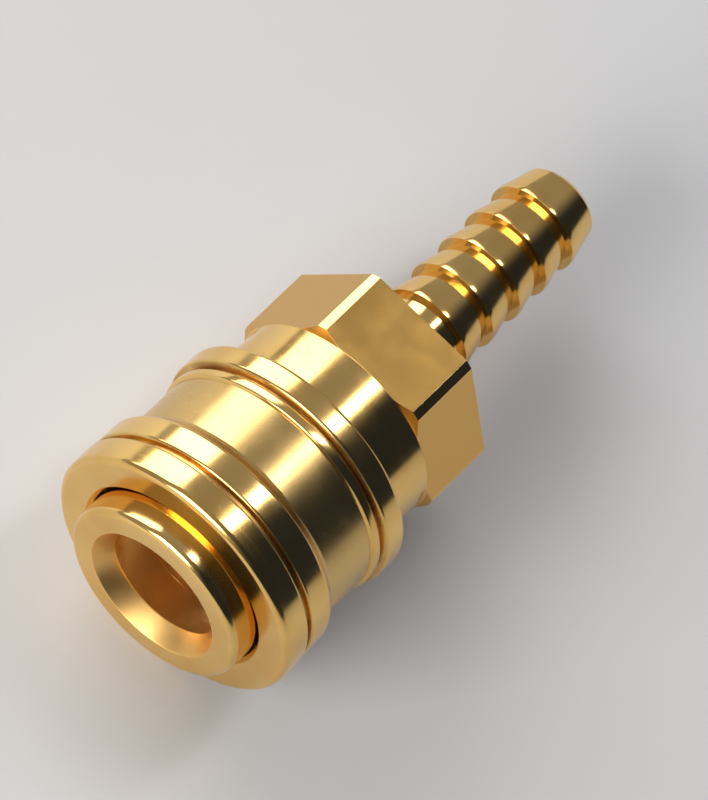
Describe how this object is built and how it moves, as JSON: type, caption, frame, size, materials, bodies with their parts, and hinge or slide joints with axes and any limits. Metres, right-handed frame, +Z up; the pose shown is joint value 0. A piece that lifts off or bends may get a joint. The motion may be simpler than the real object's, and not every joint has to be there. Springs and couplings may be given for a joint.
{
  "type": "quick disconnect coupler",
  "caption": "Brass quick disconnect air coupler: nose with plug socket, sliding locking sleeve, hexagon, and barbed hose tail.",
  "frame": {"origin": "centre of the mouth's front face, on the flow axis", "axes": "+X along the flow axis towards the hose, +Z up through a flat of the hexagon"},
  "size_m": [0.06, 0.0274, 0.0274],
  "materials": {
    "brass": "polished",
    "ball_steel": "polished",
    "spring_steel": "satin",
    "rubber": "matte"
  },
  "bodies": {
    "housing": {"socket_body": "brass", "hose_tail": "brass", "plug_seal": "rubber", "seat_ring": "brass", "valve_guide": "brass", "tail_gasket": "rubber", "valve_spring": "spring_steel"},
    "spring_carrier": {"sleeve_spring": "spring_steel"},
    "sleeve": {"locking_sleeve": "brass"},
    "valve": {"poppet": "brass", "poppet_seal": "rubber"},
    "ball_1_body": {"ball_1": "ball_steel"},
    "ball_2_body": {"ball_2": "ball_steel"},
    "ball_3_body": {"ball_3": "ball_steel"},
    "ball_4_body": {"ball_4": "ball_steel"},
    "ball_5_body": {"ball_5": "ball_steel"},
    "ball_6_body": {"ball_6": "ball_steel"},
    "ball_7_body": {"ball_7": "ball_steel"},
    "ball_8_body": {"ball_8": "ball_steel"}
  },
  "joints": [
    {"name": "sleeve_spin", "type": "hinge", "parent": "housing", "child": "spring_carrier", "pos_m": [0.0153, 0, 0], "axis": [1, 0, 0], "continuous": true},
    {"name": "sleeve_pull", "type": "slide", "parent": "spring_carrier", "child": "sleeve", "axis": [1, 0, 0], "range_m": [0, 0.004], "stiffness_N_per_m": 3000, "springref_m": -0.004, "deforming": ["sleeve_spring"]},
    {"name": "poppet_push", "type": "slide", "parent": "housing", "child": "valve", "axis": [1, 0, 0], "range_m": [0, 0.0045], "stiffness_N_per_m": 1500, "springref_m": -0.004, "deforming": ["valve_spring"]},
    {"name": "ball_1_slide", "type": "slide", "parent": "housing", "child": "ball_1_body", "axis": [0, 0, 1], "range_m": [0, 0.00105]},
    {"name": "ball_2_slide", "type": "slide", "parent": "housing", "child": "ball_2_body", "axis": [0, -0.7071, 0.7071], "range_m": [0, 0.00105]},
    {"name": "ball_3_slide", "type": "slide", "parent": "housing", "child": "ball_3_body", "axis": [0, -1, 0], "range_m": [0, 0.00105]},
    {"name": "ball_4_slide", "type": "slide", "parent": "housing", "child": "ball_4_body", "axis": [0, -0.7071, -0.7071], "range_m": [0, 0.00105]},
    {"name": "ball_5_slide", "type": "slide", "parent": "housing", "child": "ball_5_body", "axis": [0, 0, -1], "range_m": [0, 0.00105]},
    {"name": "ball_6_slide", "type": "slide", "parent": "housing", "child": "ball_6_body", "axis": [0, 0.7071, -0.7071], "range_m": [0, 0.00105]},
    {"name": "ball_7_slide", "type": "slide", "parent": "housing", "child": "ball_7_body", "axis": [0, 1, 0], "range_m": [0, 0.00105]},
    {"name": "ball_8_slide", "type": "slide", "parent": "housing", "child": "ball_8_body", "axis": [0, 0.7071, 0.7071], "range_m": [0, 0.00105]}
  ],
  "couplings": [
    {"joint": "ball_1_slide", "follows": "sleeve_pull", "ratio": 0.2625},
    {"joint": "ball_2_slide", "follows": "sleeve_pull", "ratio": 0.2625},
    {"joint": "ball_3_slide", "follows": "sleeve_pull", "ratio": 0.2625},
    {"joint": "ball_4_slide", "follows": "sleeve_pull", "ratio": 0.2625},
    {"joint": "ball_5_slide", "follows": "sleeve_pull", "ratio": 0.2625},
    {"joint": "ball_6_slide", "follows": "sleeve_pull", "ratio": 0.2625},
    {"joint": "ball_7_slide", "follows": "sleeve_pull", "ratio": 0.2625},
    {"joint": "ball_8_slide", "follows": "sleeve_pull", "ratio": 0.2625}
  ]
}
